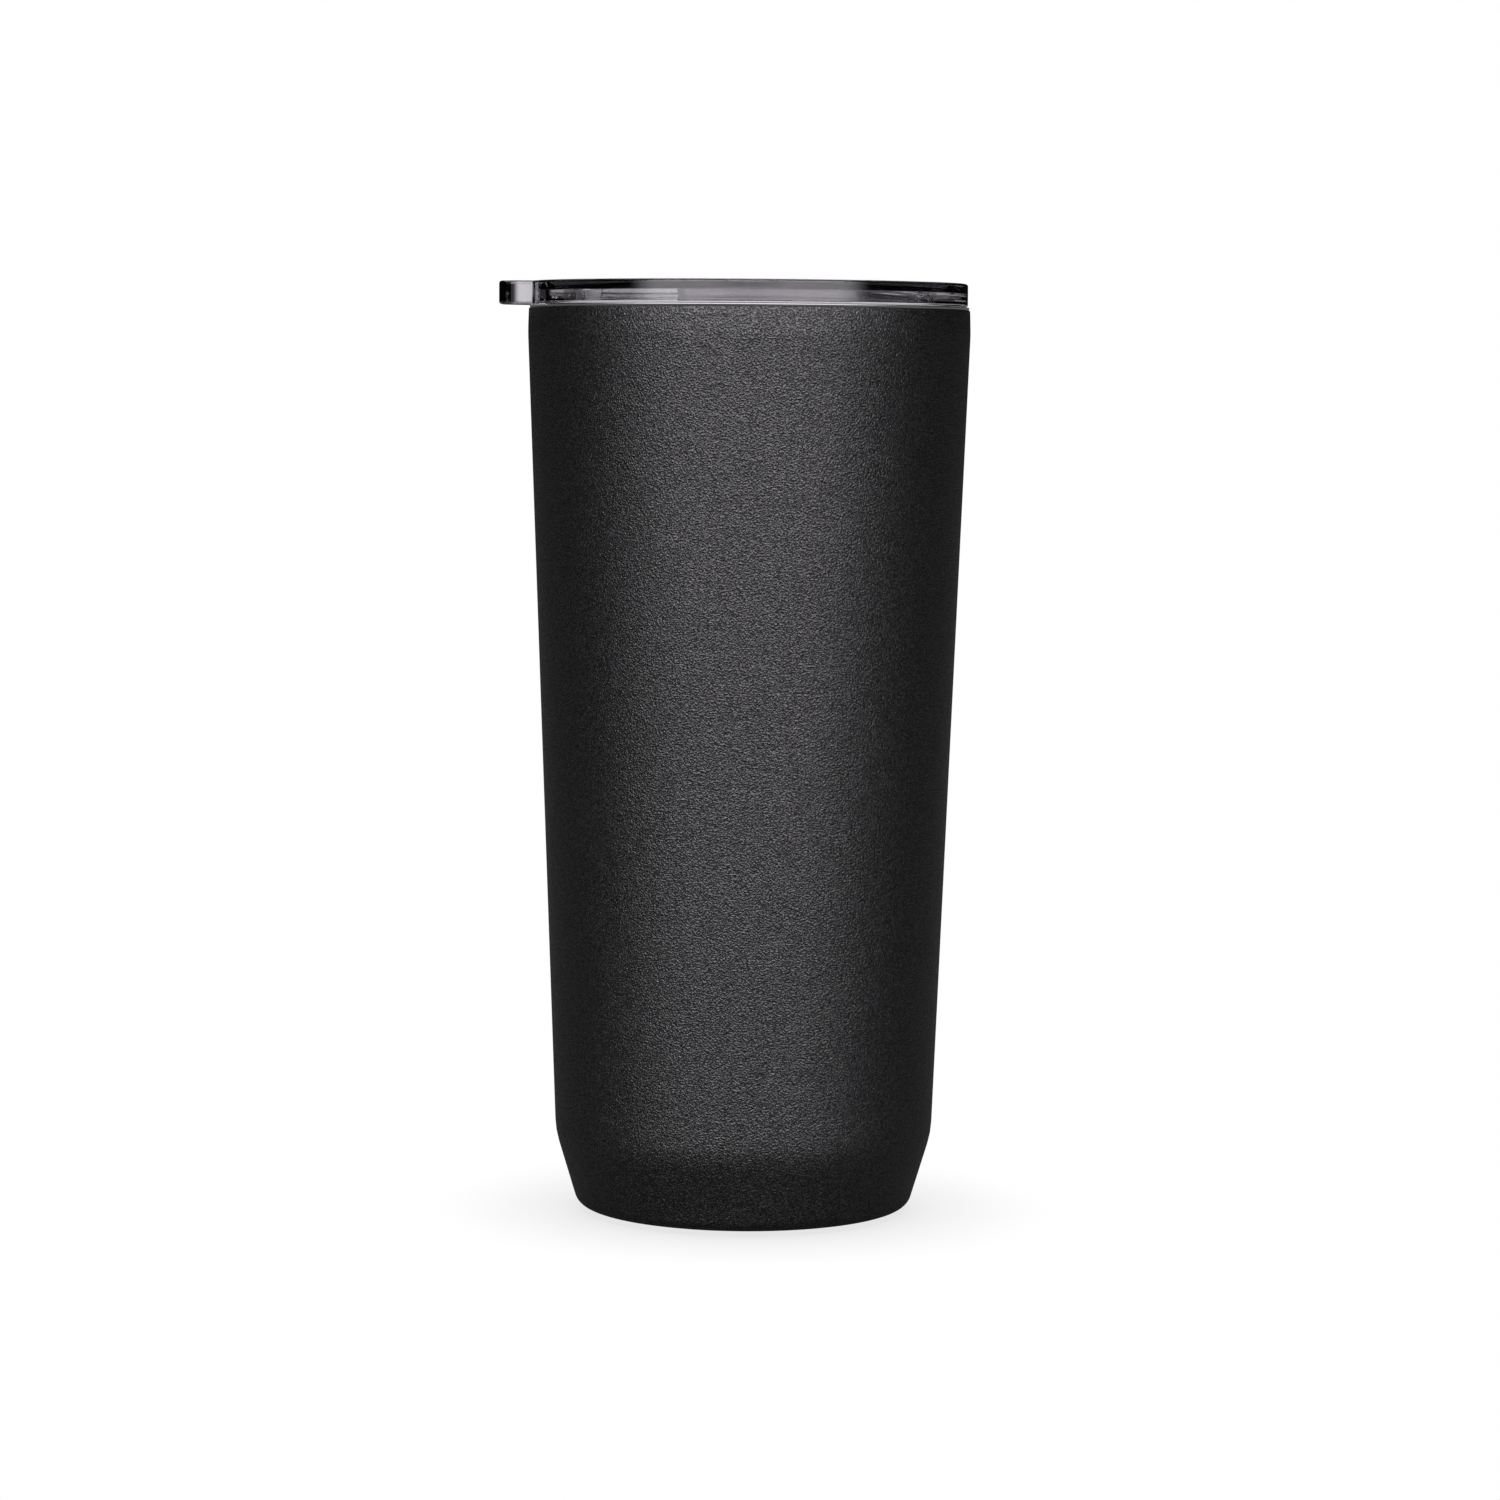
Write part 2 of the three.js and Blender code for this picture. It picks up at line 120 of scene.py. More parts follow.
def unit(vector):
    return vector / abs(vector)


def filleted(corners):
    """The points of a path of corners as complex numbers, with each fillet as an arc."""
    spots = [complex(*corner[:2]) for corner in corners]
    points = []
    for i, corner in enumerate(corners):
        here = spots[i]
        radius = corner[2] if len(corner) > 2 else 0
        if not radius:
            points.append(here)
            continue
        back = unit(spots[i - 1] - here)
        ahead = unit(spots[(i + 1) % len(spots)] - here)
        half = abs(cmath.phase(ahead / back)) / 2
        centre = here + unit(back + ahead) * radius / math.sin(half)
        start = here + back * radius / math.tan(half) - centre
        end = here + ahead * radius / math.tan(half) - centre
        turn = cmath.phase(end / start)
        steps = max(2, math.ceil(abs(turn) / ARC_STEP))
        points += [centre + start * cmath.rect(1, turn * k / steps) for k in range(steps + 1)]
    return points


def moved_left(corners, distance):
    """The same path of corners moved sideways to its left, with its fillets kept concentric."""
    spots = [complex(*corner[:2]) for corner in corners]
    runs = [unit(after - before) for before, after in zip(spots, spots[1:])]
    moved = []
    for i, corner in enumerate(corners):
        before = runs[max(i - 1, 0)]
        after = runs[min(i, len(runs) - 1)]
        turn = cmath.phase(after / before)
        side = unit(before + after) * 1j * distance / math.cos(turn / 2)
        spot = spots[i] + side
        radius = corner[2] if len(corner) > 2 else 0
        grown = radius - math.copysign(distance, turn) if radius else 0
        moved.append((spot.real, spot.imag, grown))
    return moved


def sheet(corners, thickness):
    """The closed outline of a sheet that follows a path, with its thickness on the path's left."""
    return filleted(corners) + filleted(moved_left(corners, thickness))[::-1]


def divided(outline, longest):
    """The same closed outline with points added on its long straight runs."""
    points = []
    for start, end in zip(outline, outline[1:] + outline[:1]):
        on_axis = start.real < 1e-6 and end.real < 1e-6
        count = 1 if on_axis else max(1, math.ceil(abs(end - start) / longest))
        points += [start + (end - start) * k / count for k in range(count)]
    return points


def arc(centre, radius, start, end, steps):
    """Points along an arc, both ends included."""
    turn = (end - start) / steps
    return [centre + cmath.rect(radius, start + turn * k) for k in range(steps + 1)]


# ---------------------------------------------------------------- meshes


def to_mesh(made):
    mesh = bpy.data.meshes.new("made")
    made.to_mesh(mesh)
    made.free()
    return mesh


def lofted(rings, closed=False):
    """A closed mesh over rings of points in millimetres. A ring of one point is a pole."""
    made = bmesh.new()
    rows = [[made.verts.new(Vector(point) * MM) for point in ring] for ring in rings]
    pairs = list(zip(rows, rows[1:] + rows[:1]))
    for lower, upper in pairs if closed else pairs[:-1]:
        count = max(len(lower), len(upper))
        for k in range(count if count > 1 else 0):
            corners = (
                lower[k % len(lower)],
                lower[(k + 1) % len(lower)],
                upper[(k + 1) % len(upper)],
                upper[k % len(upper)],
            )
            made.faces.new(list(dict.fromkeys(corners)))
    if not closed:
        made.faces.new(rows[0][::-1])
        made.faces.new(rows[-1])
    bmesh.ops.recalc_face_normals(made, faces=made.faces)
    return to_mesh(made)


def circle(point, segments):
    """The ring that an outline's point makes when it is turned round the axis."""
    if point.real < 1e-6:
        return [(0, 0, point.imag)]
    turns = [cmath.rect(point.real, 2 * math.pi * k / segments) for k in range(segments)]
    return [(spot.real, spot.imag, point.imag) for spot in turns]


def turned(outline, segments=240, longest=4):
    """A solid turned round the axis from a closed outline."""
    return lofted([circle(point, segments) for point in divided(outline, longest)], closed=True)


RIM_STEPS = 5


def rim_levels(low, high, edge):
    """(inset, height) pairs that round the lower and upper rims of a flat solid."""
    angles = [RIGHT_ANGLE * k / RIM_STEPS for k in range(RIM_STEPS + 1)]
    lower = [(edge * (1 - math.sin(a)), low + edge * (1 - math.cos(a))) for a in angles]
    upper = [(edge * (1 - math.cos(a)), high - edge * (1 - math.sin(a))) for a in angles]
    return lower + upper


def slab(plan, low, high, edge):
    """A flat solid between two heights. plan(inset) gives its outline, drawn in by the inset."""
    levels = rim_levels(low, high, edge)
    return lofted([[(p.real, p.imag, z) for p in plan(inset)] for inset, z in levels])


def cutter(plan, low, high, edge):
    """A solid that cuts a hole through a plate from low to high, and rounds the hole's rims."""
    levels = [(-inset, z) for inset, z in rim_levels(low, high, edge)]
    beyond = [(-edge, low - 1), *levels, (-edge, high + 1)]
    return lofted([[(p.real, p.imag, z) for p in plan(inset)] for inset, z in beyond])


def combined(base, others, operation):
    """A mesh with others joined to it or cut from it."""
    objects = [bpy.data.objects.new("operand", mesh) for mesh in (base, *others)]
    for item in objects:
        bpy.context.scene.collection.objects.link(item)
    for other in objects[1:]:
        step = objects[0].modifiers.new("combine", "BOOLEAN")
        step.operation = operation
        step.solver = "EXACT"
        step.object = other
    graph = bpy.context.evaluated_depsgraph_get()
    mesh = bpy.data.meshes.new_from_object(objects[0].evaluated_get(graph))
    for item in objects:
        bpy.data.objects.remove(item)
    return mesh


def joined(base, *others):
    return combined(base, others, "UNION")


def cut(base, *others):
    return combined(base, others, "DIFFERENCE")


SHARP = math.radians(34)


def smooth(mesh):
    """Shades a mesh smooth but for its sharp edges."""
    made = bmesh.new()
    made.from_mesh(mesh)
    bmesh.ops.remove_doubles(made, verts=made.verts, dist=1e-7)
    for face in made.faces:
        face.smooth = True
    for edge in made.edges:
        edge.smooth = len(edge.link_faces) == 2 and edge.calc_face_angle() < SHARP
    made.to_mesh(mesh)
    made.free()


# ---------------------------------------------------------------- pieces on their bodies

BODY_OF = {
    node: body
    for body, nodes in frame["record"]["behaviour"]["bodies"].items()
    for node in nodes
}


def show(name, node, mesh, material):
    """Shows a mesh in place of a CAD node, on that node's body and in its material slot."""
    smooth(mesh)
    mesh.name = name
    mesh.materials.append(material)
    piece = bpy.data.objects.new(name, mesh)
    bpy.context.scene.collection.objects.link(piece)
    shading = piece.modifiers.new("even shading", "WEIGHTED_NORMAL")
    shading.keep_sharp = True
    shading.weight = 80
    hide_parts(node)
    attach(piece, BODY_OF[node])


# ---------------------------------------------------------------- material graphs


class Graph:
    """The nodes of a material or a world. Each method adds a node and returns its output socket."""

    def __init__(self, owner):
        owner.use_nodes = True
        self.owner = owner
        self.tree = owner.node_tree
        self.tree.nodes.clear()

    def node(self, kind, output=0, inputs=None, **settings):
        made = self.tree.nodes.new("ShaderNode" + kind)
        for name, value in settings.items():
            setattr(made, name, value)
        for name, value in (inputs or {}).items():
            if isinstance(value, bpy.types.NodeSocket):
                self.tree.links.new(value, made.inputs[name])
            else:
                made.inputs[name].default_value = value
        return made.outputs[output]

    def maths(self, operation, a, b=0.0):
        return self.node("Math", inputs={0: a, 1: b}, operation=operation)

    def product(self, first, *others):
        for other in others:
            first = self.maths("MULTIPLY", first, other)
        return first

    def remap(self, value, low, high, to_low=0.0, to_high=1.0, smooth=False):
        inputs = {"Value": value, 1: low, 2: high, 3: to_low, 4: to_high}
        kind = "SMOOTHSTEP" if smooth else "LINEAR"
        return self.node("MapRange", "Result", inputs, interpolation_type=kind)

    def mix(self, share, a, b):
        """A colour between two, which may go past the second when the share is over 1."""
        a, b = ((*colour, 1) if isinstance(colour, tuple) else colour for colour in (a, b))
        inputs = {0: share, 6: a, 7: b}
        return self.node("Mix", 2, inputs, data_type="RGBA", clamp_factor=False)

    def output(self, kind, **sockets):
        """Ends the graph: joins its finished shaders to its output."""
        end = self.tree.nodes.new("ShaderNodeOutput" + kind)
        for name, socket in sockets.items():
            self.tree.links.new(socket, end.inputs[name])


class Finish(Graph):
    """A material's nodes, which know the place on the piece in millimetres."""

    def __init__(self, name):
        super().__init__(bpy.data.materials.new(name))
        inputs = {0: self.node("TexCoord", "Object"), "Scale": 1 / MM}
        self.place = self.node("VectorMath", inputs=inputs, operation="SCALE")

    def noise(self, per_mm, detail=2.0, roughness=0.5, place=None):
        inputs = {
            "Vector": place or self.place,
            "Scale": per_mm,
            "Detail": detail,
            "Roughness": roughness,
        }
        return self.node("TexNoise", "Fac", inputs)

    def cells(self, per_mm, feature="F1"):
        inputs = {"Vector": self.place, "Scale": per_mm}
        return self.node("TexVoronoi", "Distance", inputs, feature=feature)

    def bump(self, height, millimetres, under=None):
        """A surface raised by height, 0 to 1, times a depth in millimetres."""
        inputs = {"Height": height, "Strength": 1.0, "Distance": millimetres * MM}
        if under is not None:
            inputs["Normal"] = under
        return self.node("Bump", "Normal", inputs)

    def turn_and_height(self, round_mm, up_mm):
        """Coordinates for lines that run round the axis: radius and height count, angle hardly."""
        x, y, z = (self.node("SeparateXYZ", axis, {"Vector": self.place}) for axis in "XYZ")
        square = self.maths("ADD", self.maths("MULTIPLY", x, x), self.maths("MULTIPLY", y, y))
        inputs = {
            "X": self.maths("MULTIPLY", self.maths("SQRT", square), up_mm),
            "Y": self.maths("MULTIPLY", self.maths("ARCTAN2", y, x), round_mm),
            "Z": self.maths("MULTIPLY", z, up_mm),
        }
        return self.node("CombineXYZ", "Vector", inputs)

    def surface(self, **inputs):
        """Ends the material with one principled surface, and returns the material."""
        named = {name.replace("_", " ").title(): value for name, value in inputs.items()}
        named = {name.replace("Ior", "IOR"): value for name, value in named.items()}
        self.output("Material", Surface=self.node("BsdfPrincipled", "BSDF", named))
        return self.owner


def powder_coat():
    """Matte black powder coat: fused grains a third of a millimetre apart, whose crests shine while
    painted shade darkens the pits between them in colour and shine, with a few paler flecks as painted
    glints.
    """
    g = Finish("powder coat")
    grain = g.noise(3.4, detail=0.5)
    pebbles = g.cells(3.2, feature="SMOOTH_F1")
    lumps = g.noise(0.35, detail=1.0)
    height = g.maths("SUBTRACT", grain, g.maths("MULTIPLY", pebbles, 0.45))
    normal = g.bump(lumps, 0.02)
    normal = g.bump(height, 0.13, normal)
    # Painted shade: the pits between the grains get a darker colour and a weaker shine than the crests.
    crest_clear_of_painted_shade = g.remap(grain, 0.42, 0.68)
    # Painted glints: the paler flecks stand in for the shine of the tiniest crests.
    painted_glint_fleck = g.remap(g.noise(2.6, detail=1.0), 0.66, 0.74)
    mottle = g.remap(g.noise(0.05, detail=3.0), 0.3, 0.7)
    base = g.mix(mottle, (0.0010, 0.0009, 0.0010), (0.0014, 0.0013, 0.0014))
    base = g.mix(g.maths("MULTIPLY", crest_clear_of_painted_shade, 0.5), base, (0.003, 0.0028, 0.003))
    base = g.mix(g.maths("MULTIPLY", painted_glint_fleck, 0.5), base, (0.02, 0.0185, 0.02))
    return g.surface(
        base_color=base,
        roughness=g.remap(g.noise(0.8, detail=2.0), 0.3, 0.7, 0.36, 0.45),
        specular_ior_level=g.remap(crest_clear_of_painted_shade, 0.0, 1.0, 0.3, 1.0),
        normal=normal,
    )


def turned_steel(name, tint, rough_low, rough_high, line_depth):
    """Bare stainless steel with fine lines round the axis from turning and polishing."""
    g = Finish(name)
    lines = g.noise(1.0, detail=4.0, roughness=0.7, place=g.turn_and_height(1.2, 9.0))
    broad = g.noise(1.0, detail=2.0, place=g.turn_and_height(0.6, 1.1))
    clouds = g.noise(0.06, detail=3.0)
    dark = tuple(channel * 0.82 for channel in tint)
    base = g.mix(g.remap(clouds, 0.3, 0.7), dark, tint)
    base = g.mix(g.remap(lines, 0.45, 0.85, 0.0, 0.35), base, (0.78, 0.78, 0.79))
    roughness = g.remap(g.maths("ADD", lines, broad), 0.7, 1.3, rough_low, rough_high)
    tangent = g.node("Tangent", "Tangent", direction_type="RADIAL", axis="Z")
    return g.surface(
        base_color=base,
        metallic=1.0,
        roughness=roughness,
        anisotropic=0.55,
        tangent=tangent,
        normal=g.bump(lines, line_depth),
    )


def copper_foil():
    """Thin rolled copper foil, creased where it is wrapped."""
    g = Finish("copper foil")
    creases = g.cells(0.16, feature="DISTANCE_TO_EDGE")
    ridge = g.remap(creases, 0.0, 0.09, 1.0, 0.0, smooth=True)
    rolled = g.noise(1.0, detail=3.0, place=g.turn_and_height(9.0, 2.5))
    stain = g.remap(g.noise(0.04, detail=4.0), 0.35, 0.7)
    base = g.mix(stain, (0.83, 0.42, 0.26), (0.62, 0.27, 0.15))
    normal = g.bump(ridge, 0.25)
    normal = g.bump(rolled, 0.01, normal)
    roughness = g.remap(rolled, 0.3, 0.7, 0.18, 0.34)
    return g.surface(base_color=base, metallic=1.0, roughness=roughness, normal=normal)


def sealing_glass():
    """A fused bead of greenish grey sealing glass with tiny bubbles."""
    g = Finish("sealing glass")
    bubbles = g.remap(g.cells(2.2), 0.0, 0.25, 1.0, 0.0)
    base = g.mix(g.noise(0.8, detail=2.0), (0.16, 0.2, 0.17), (0.34, 0.38, 0.33))
    normal = g.bump(g.noise(0.5, detail=1.0), 0.12)
    return g.surface(
        base_color=g.mix(bubbles, base, (0.5, 0.53, 0.5)),
        roughness=g.remap(bubbles, 0.0, 1.0, 0.12, 0.3),
        normal=normal,
        coat_weight=0.4,
    )


def getter_alloy():
    """A pill pressed from metal powder."""
    g = Finish("getter alloy")
    grains = g.cells(5.0)
    base = g.mix(g.noise(3.0, detail=3.0), (0.06, 0.06, 0.065), (0.2, 0.19, 0.19))
    return g.surface(
        base_color=base,
        metallic=0.7,
        roughness=g.remap(grains, 0.0, 0.6, 0.5, 0.85),
        normal=g.bump(grains, 0.05),
    )


def silicone(name, dark, light, grain_mm):
    """Moulded silicone: a fine spark-eroded skin that holds a little dust and shine."""
    g = Finish(name)
    skin = g.noise(4.0, detail=2.0)
    clouds = g.remap(g.noise(0.12, detail=3.0), 0.3, 0.7)
    dust = g.remap(g.noise(3.2, detail=0.0), 0.7, 0.78)
    base = g.mix(clouds, dark, light)
    base = g.mix(g.maths("MULTIPLY", dust, 0.4), base, (0.22, 0.22, 0.22))
    return g.surface(
        base_color=base,
        roughness=g.remap(g.noise(0.7, detail=2.0), 0.3, 0.7, 0.5, 0.72),
        normal=g.bump(skin, grain_mm),
        sheen_weight=0.15,
        sheen_roughness=0.5,
        ior=1.41,
    )


def clear_plastic(name, tint, fade_mm):
    """See-through moulded plastic with a smoky tint that deepens with thickness."""
    g = Finish(name)
    haze = g.noise(0.25, detail=3.0)
    flow = g.noise(0.06, detail=0.0)
    base = g.mix(g.remap(flow, 0.3, 0.7), (0.93, 0.925, 0.935), (0.97, 0.965, 0.975))
    inputs = {
        "Base Color": base,
        "Roughness": g.remap(haze, 0.4, 0.7, 0.008, 0.03),
        "IOR": 1.55,
        "Transmission Weight": 1.0,
        "Normal": g.bump(flow, 0.04),
    }
    plastic = g.node("BsdfPrincipled", "BSDF", inputs)
    # Light falls straight through it onto what it covers, a little dimmed.
    straight = g.node("BsdfTransparent", "BSDF", {"Color": (0.86, 0.86, 0.87, 1)})
    shadow_ray = g.node("LightPath", "Is Shadow Ray")
    surface = g.node("MixShader", "Shader", {0: shadow_ray, 1: plastic, 2: straight})
    smoke_inside = {"Color": (*tint, 1), "Density": 1 / (fade_mm * MM)}
    volume = g.node("VolumeAbsorption", "Volume", smoke_inside)
    g.output("Material", Surface=surface, Volume=volume)
    return g.owner


# ---------------------------------------------------------------- steel body


def outer_shell():
    """The outer wall: rounded foot ring, steep bevel, long taper and drawn-in shoulder."""
    path = [
        (BASE_HOLE_R, BASE_Z),
        (BASE_R, BASE_Z, 2.8),
        (BEVEL_TOP_R, BASE_Z + BEVEL_HEIGHT, 16.7),
        (SHOULDER_R, BASE_Z + SHOULDER_HEIGHT, 30),
        (COAT_TOP_R + 0.13, COAT_TOP_Z - 0.2),
        (COAT_TOP_R, COAT_TOP_Z),
    ]
    return turned(sheet(path, SHEET), segments=288, longest=3)


CUP_TAPER = (MOUTH_R - CUP_FLOOR_R) / (MOUTH_BOTTOM_Z - CUP_FLOOR_Z)


def cup_radius(z):
    """The radius of the cup's drinking face, below its straight mouth."""
    return CUP_FLOOR_R + CUP_TAPER * (z - CUP_FLOOR_Z)


def inner_cup():
    """The drinking cup, from its curled lip to its rounded floor."""
    drink_face = [
        (LIP_R - 0.12, LIP_Z, 0.0),
        (MOUTH_R, LIP_Z, 1.9),
        (MOUTH_R, MOUTH_BOTTOM_Z, 30),
        (CUP_FLOOR_R, CUP_FLOOR_Z, 12),
        (0, CUP_FLOOR_Z),
    ]
    outline = sheet(drink_face, SHEET)
    outline.insert(0, complex(LIP_R, LIP_Z - 0.14))
    return turned(outline, segments=240, longest=3)


def heat_shield():
    """Foil wrapped round the cup, with shallow creases pressed into it."""
    gap = (SHEET + 0.2) * math.hypot(1, CUP_TAPER)
    foil = 0.12
    inner = [complex(cup_radius(z) + gap, z) for z in (FOIL_LOW.z, FOIL_HIGH.z)]
    outer = [point + foil for point in inner[::-1]]
    mesh = turned(inner + outer, segments=240, longest=2.5)
    crease_depth = 0.05
    for vertex in mesh.vertices:
        place = vertex.co / MM
        lean = noise.noise(place * 0.12) + 0.5 * noise.noise(place * 0.4)
        outwards = Vector((place.x, place.y, 0)).normalized()
        vertex.co += outwards * lean * crease_depth * MM
    return mesh


def base_plate():
    """The welded base plate with a dimple round the hole the air was drawn through."""
    flange_z = BASE_Z + SHEET + 0.1
    hole_r, dimple_r, floor_z, floor_r = 0.8, 3.6, 3, 26.3
    path = [
        (hole_r, PLATE_HIGH.z - SHEET),
        (dimple_r, PLATE_HIGH.z - SHEET, 0.4),
        (dimple_r + 1.4, floor_z, 0.6),
        (floor_r, floor_z, 0.6),
        (floor_r + 1, flange_z, 0.5),
        (PLATE_HIGH.x, flange_z),
    ]
    return turned(sheet(path, SHEET), segments=192)


def seal_bead():
    """The bead of sealing glass, slumped round the hole."""
    roof_z = BEAD_HIGH.z - SHEET
    neck_r = 0.7
    outline = filleted(
        [
            (0, BEAD_LOW.z),
            (2, BEAD_LOW.z + 0.08, 1.5),
            (BEAD_HIGH.x, BEAD_LOW.z + 0.7, 0.4),
            (BEAD_HIGH.x - 0.1, roof_z),
            (neck_r, roof_z),
            (neck_r, BEAD_HIGH.z, 0.15),
            (0, BEAD_HIGH.z),
        ]
    )
    return turned(outline, segments=96, longest=0.4)


def getter_pill():
    """The getter: a pressed pill with rounded rims, and a shallow dish in its top."""
    centre = (GETTER_LOW + GETTER_HIGH) / 2
    radius = (GETTER_HIGH.x - GETTER_LOW.x) / 2
    top = GETTER_HIGH.z
    outline = filleted(
        [
            (0, GETTER_LOW.z),
            (radius, GETTER_LOW.z, 0.25),
            (radius, top, 0.25),
            (radius * 0.7, top),
            (radius * 0.6, top - 0.2, 0.5),
            (0, top - 0.2),
        ]
    )
    mesh = turned(outline, segments=96, longest=0.6)
    mesh.transform(Matrix.Translation((centre.x * MM, centre.y * MM, 0)))
    return mesh


def getter_strap():
    """The strap that is spot-welded over the getter."""
    thickness = 0.25
    reach = STRAP_HIGH.y
    bridge = reach - 4.5
    low = STRAP_LOW.z
    rise = STRAP_HIGH.z - thickness
    path = [
        (-reach, low),
        (-bridge, low, 0.3),
        (-bridge + 0.1, rise, 0.5),
        (bridge - 0.1, rise, 0.5),
        (bridge, low, 0.3),
        (reach, low),
    ]
    section = divided(sheet(path, thickness), 0.6)
    stations = (STRAP_LOW.x, STRAP_LOW.x + 0.1, STRAP_HIGH.x - 0.1, STRAP_HIGH.x)
    return lofted([[(x, p.real, p.imag) for p in section] for x in stations])


def foot_pad():
    """The silicone foot, with two moulded grooves."""
    depth, width = 0.4, 1.2
    grooves = []
    for r in (12, 20):
        grooves += [(r, 0, 0.15), (r + 0.1, depth, 0.15)]
        grooves += [(r + width - 0.1, depth, 0.15), (r + width, 0, 0.15)]
    outline = filleted(
        [
            (0, 0),
            *grooves,
            (FOOT_HIGH.x, 0, 0.5),
            (FOOT_HIGH.x, FOOT_HIGH.z, 0.3),
            (0, FOOT_HIGH.z),
        ]
    )
    return turned(outline, segments=240, longest=2)


# ---------------------------------------------------------------- lid

EDGE_R = 0.5  # rounding of the flange's rims
DECK_LOOP_R = 30  # where the lid's profile ends, and the flat middle of the deck starts


def flange_plan(inset):
    """The flange with its lifting tab, seen from above and drawn in by the inset."""
    root_y = TAB_HALF_WIDTH + TAB_ROOT_R
    root_x = -math.sqrt((FLANGE_R + TAB_ROOT_R) ** 2 - root_y**2)
    root = complex(root_x, root_y)
    tip = complex(TAB_CORNER_R - TAB_REACH, TAB_HALF_WIDTH - TAB_CORNER_R)
    meets = cmath.phase(root)
    rim = arc(0, FLANGE_R - inset, -meets, meets, 320)
    blend = arc(root, TAB_ROOT_R + inset, meets - math.pi, -RIGHT_ANGLE, 10)
    corner = arc(tip, TAB_CORNER_R - inset, RIGHT_ANGLE, math.pi, 10)
    end = [complex(corner[-1].real, tip.imag * k / 4) for k in (3, 2, 1)]
    upper = blend[1:] + corner + end
    middle = complex(corner[-1].real, 0)
    lower = [spot.conjugate() for spot in upper[::-1]]
    return rim + upper + [middle] + lower[:-1]


def lid_ring(point):
    """The ring of a point on the lid's profile. Only the flange itself follows the tab."""
    on_flange = point.real > 40 and point.imag > FLANGE_Z - 0.01
    plan = flange_plan(FLANGE_R - point.real if on_flange else 0)
    spots = plan if on_flange else [unit(spot) * point.real for spot in plan]
    return [(spot.real, spot.imag, point.imag) for spot in spots]


def rounded_rectangle(x_low, x_high, y_low, y_high, corner_r):
    """A plan, as slab and cutter take it, of a rectangle with round corners."""

    def plan(inset):
        radius = corner_r - inset
        centres = [
            complex(x_high - corner_r, y_high - corner_r),
            complex(x_low + corner_r, y_high - corner_r),
            complex(x_low + corner_r, y_low + corner_r),
            complex(x_high - corner_r, y_low + corner_r),
        ]
        corners = [
            arc(centre, radius, RIGHT_ANGLE * k, RIGHT_ANGLE * (k + 1), 6)
            for k, centre in enumerate(centres)
        ]
        return [spot for corner in corners for spot in corner]

    return plan


def bent_slot(margin):
    """A plan of the drinking opening grown by a margin: a slot bent round the axis."""

    def plan(inset):
        half_width = OPENING_HALF_WIDTH + margin - inset
        turn = OPENING_HALF_ANGLE
        end = cmath.rect(OPENING_MID_R, turn)
        outer = arc(0, OPENING_MID_R + half_width, -turn, turn, 12)
        upper = arc(end, half_width, turn, turn + math.pi, 16)
        inner = arc(0, OPENING_MID_R - half_width, turn, -turn, 12)
        lower = arc(end.conjugate(), half_width, math.pi - turn, 2 * math.pi - turn, 16)
        return outer + upper[1:] + inner[1:] + lower[1:-1]

    return plan


def round_hole(x, radius):
    """A plan of a round hole on the X axis."""
    return lambda inset: arc(x, radius - inset, 0, 2 * math.pi, 32)[:-1]


def lid_profile():
    """Half of the lid's section, from under the deck, round the plug and the flange, to the deck."""
    plug_inner_r, plug_r, groove_r = 35.6, 38.7, 37.2
    groove_low_z, groove_high_z = GASKET_LOW.z - CONTACT_GAP, GASKET_HIGH.z + CONTACT_GAP
    return filleted(
        [
            (DECK_LOOP_R, DECK_BOTTOM_Z),
            (plug_inner_r, DECK_BOTTOM_Z, 1),
            (plug_inner_r, LID_LOW.z, 0.4),
            (plug_r - 0.5, LID_LOW.z, 0.6),
            (plug_r - 0.2, groove_low_z, 0.25),
            (groove_r, groove_low_z),
            (groove_r, groove_high_z),
            (plug_r, groove_high_z, 0.25),
            (plug_r, FLANGE_Z),
            (FLANGE_R, FLANGE_Z, EDGE_R),
            (FLANGE_R, FLANGE_TOP_Z, EDGE_R),
            (38.2, FLANGE_TOP_Z, 0.5),
            (36.3, FLANGE_TOP_Z - 1.8, 0.25),
            (35.7, DECK_Z, 0.6),
            (DECK_LOOP_R, DECK_Z),
        ]
    )


def slider_rails():
    """The two rails that guide the slider, each with a lip over the slider's wing."""
    wall_y = SLIDER_HIGH.y + 0.3
    back_y = wall_y + 2.1
    lip_z = SLIDER_LOW.z + 1.7
    rails = []
    for side in (1, -1):
        for front_y, z_low in ((wall_y, DECK_Z - 0.5), (wall_y - 1.3, lip_z)):
            ends = sorted((side * front_y, side * back_y))
            plan = rounded_rectangle(-RAIL_HALF_LENGTH, RAIL_HALF_LENGTH, *ends, 0.6)
            rails.append(slab(plan, z_low, lip_z + 1, 0.25))
    return rails


def lid_body():
    """The clear lid: plug, deck in a recess, flange with its lifting tab, rails and two holes."""
    blank = lofted([lid_ring(point) for point in lid_profile()])
    whole = joined(blank, *slider_rails())
    opening = cutter(bent_slot(0), DECK_BOTTOM_Z, DECK_Z, 0.5)
    vent = cutter(round_hole(VENT_X, VENT_R), DECK_BOTTOM_Z, DECK_Z, 0.2)
    return cut(whole, opening, vent)


def lid_gasket():
    """The silicone ring, with two wiping fins that lean towards the plug's tip."""
    inner_r, core_r, fin_r = 37.3, 38.6, GASKET_HIGH.x
    low, high = GASKET_LOW.z, GASKET_HIGH.z

    def fin(z):
        return [
            (core_r, z, 0.15),
            (fin_r, z + 0.5, 0.1),
            (fin_r, z + 0.85, 0.12),
            (core_r, z + 0.95, 0.3),
        ]

    corners = [
        (inner_r, low, 0.2),
        (core_r, low, 0.2),
        *fin(low + 0.5),
        *fin(low + 2.3),
        (core_r, high, 0.2),
        (inner_r, high, 0.2),
    ]
    return turned(filleted(corners), segments=288, longest=0.5)


